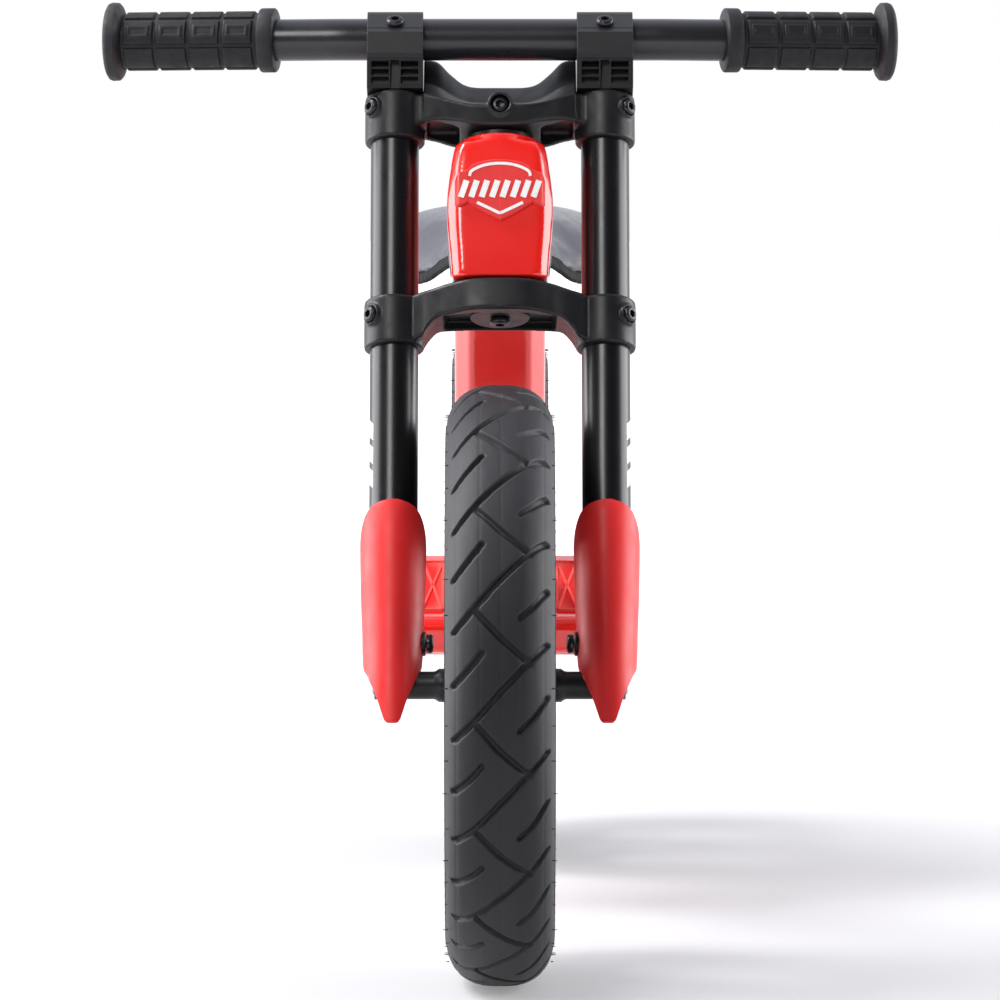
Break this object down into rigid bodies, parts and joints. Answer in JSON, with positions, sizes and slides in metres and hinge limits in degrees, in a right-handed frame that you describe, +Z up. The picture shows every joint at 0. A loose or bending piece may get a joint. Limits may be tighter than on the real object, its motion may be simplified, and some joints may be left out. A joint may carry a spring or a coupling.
{
  "type": "balance bike",
  "caption": "Child's balance bike with a cast beam frame, twin-crown fork with leg guards, air tyres, footrest, swept handlebar with grips and height-adjustable saddle.",
  "frame": {"origin": "on the ground, midway between the two axles, on the bike's centre plane", "axes": "+Z up; the bike faces -Y, so +Y runs from the front wheel to the rear wheel; +X is the rider's left"},
  "size_m": [0.4228, 0.875, 0.5043],
  "materials": {
    "frame_paint": "gloss",
    "badge_red": "satin",
    "guard_red": "satin",
    "cast_black": "satin",
    "tube_black": "gloss",
    "bolt_black": "satin",
    "grip_rubber": "matte",
    "tyre_rubber": "matte",
    "wheel_plastic": "satin",
    "bearing_steel": "satin",
    "saddle_foam": "satin",
    "saddle_shell": "matte"
  },
  "bodies": {
    "frame": {"frame_casting": "frame_paint", "head_badge": "badge_red", "headset_bearing_lower": "cast_black", "headset_bearing_upper": "cast_black", "seat_clamp": "cast_black", "seat_clamp_bolt": "bolt_black", "rear_axle": "bearing_steel", "rear_spacer_left": "cast_black", "rear_spacer_right": "cast_black", "rear_nut_left": "bolt_black", "rear_nut_right": "bolt_black"},
    "fork": {"lower_crown": "cast_black", "upper_crown": "cast_black", "pinch_bolt_lower_left": "bolt_black", "pinch_bolt_upper_left": "bolt_black", "pinch_bolt_lower_right": "bolt_black", "pinch_bolt_upper_right": "bolt_black", "crown_centre_bolt": "bolt_black", "steerer_tube": "bearing_steel", "steerer_washer": "cast_black", "steerer_bolt": "bolt_black", "stanchion_left": "tube_black", "fork_end_left": "cast_black", "leg_guard_left": "guard_red", "guard_bolt_left": "bolt_black", "bar_riser_left": "cast_black", "bar_clamp_cap_left": "cast_black", "clamp_bolt_left": "bolt_black", "stanchion_right": "tube_black", "fork_end_right": "cast_black", "leg_guard_right": "guard_red", "guard_bolt_right": "bolt_black", "bar_riser_right": "cast_black", "bar_clamp_cap_right": "cast_black", "clamp_bolt_right": "bolt_black", "front_axle": "bearing_steel", "front_spacer_left": "cast_black", "front_spacer_right": "cast_black", "front_nut_left": "bolt_black", "front_nut_right": "bolt_black"},
    "front_wheel": {"front_tyre": "tyre_rubber", "front_rim": "wheel_plastic", "front_hub": "cast_black", "front_valve": "bolt_black", "front_bearing_left": "bearing_steel", "front_bearing_right": "bearing_steel"},
    "rear_wheel": {"rear_tyre": "tyre_rubber", "rear_rim": "wheel_plastic", "rear_hub": "cast_black", "rear_valve": "bolt_black", "rear_bearing_left": "bearing_steel", "rear_bearing_right": "bearing_steel"},
    "seat": {"seat_post": "tube_black", "saddle_base": "saddle_shell", "saddle_pad": "saddle_foam", "saddle_bolt": "bolt_black"},
    "handlebar": {"handlebar": "tube_black", "grip_left": "grip_rubber", "grip_right": "grip_rubber"}
  },
  "joints": [
    {"name": "steering", "type": "hinge", "parent": "frame", "child": "fork", "pos_m": [0, -0.27694, 0.15275], "axis": [0, 0.3746, 0.9272], "range_deg": [-40, 40]},
    {"name": "front_wheel_spin", "type": "hinge", "parent": "fork", "child": "front_wheel", "pos_m": [0, -0.2825, 0.155], "axis": [1, 0, 0], "continuous": true},
    {"name": "rear_wheel_spin", "type": "hinge", "parent": "frame", "child": "rear_wheel", "pos_m": [0, 0.2825, 0.155], "axis": [1, 0, 0], "continuous": true},
    {"name": "seat_height", "type": "slide", "parent": "frame", "child": "seat", "axis": [0, 0.309, 0.9511], "range_m": [-0.02, 0.04]},
    {"name": "handlebar_tilt", "type": "hinge", "parent": "fork", "child": "handlebar", "pos_m": [0, -0.14275, 0.48487], "axis": [1, 0, 0], "range_deg": [-15, 15]}
  ]
}
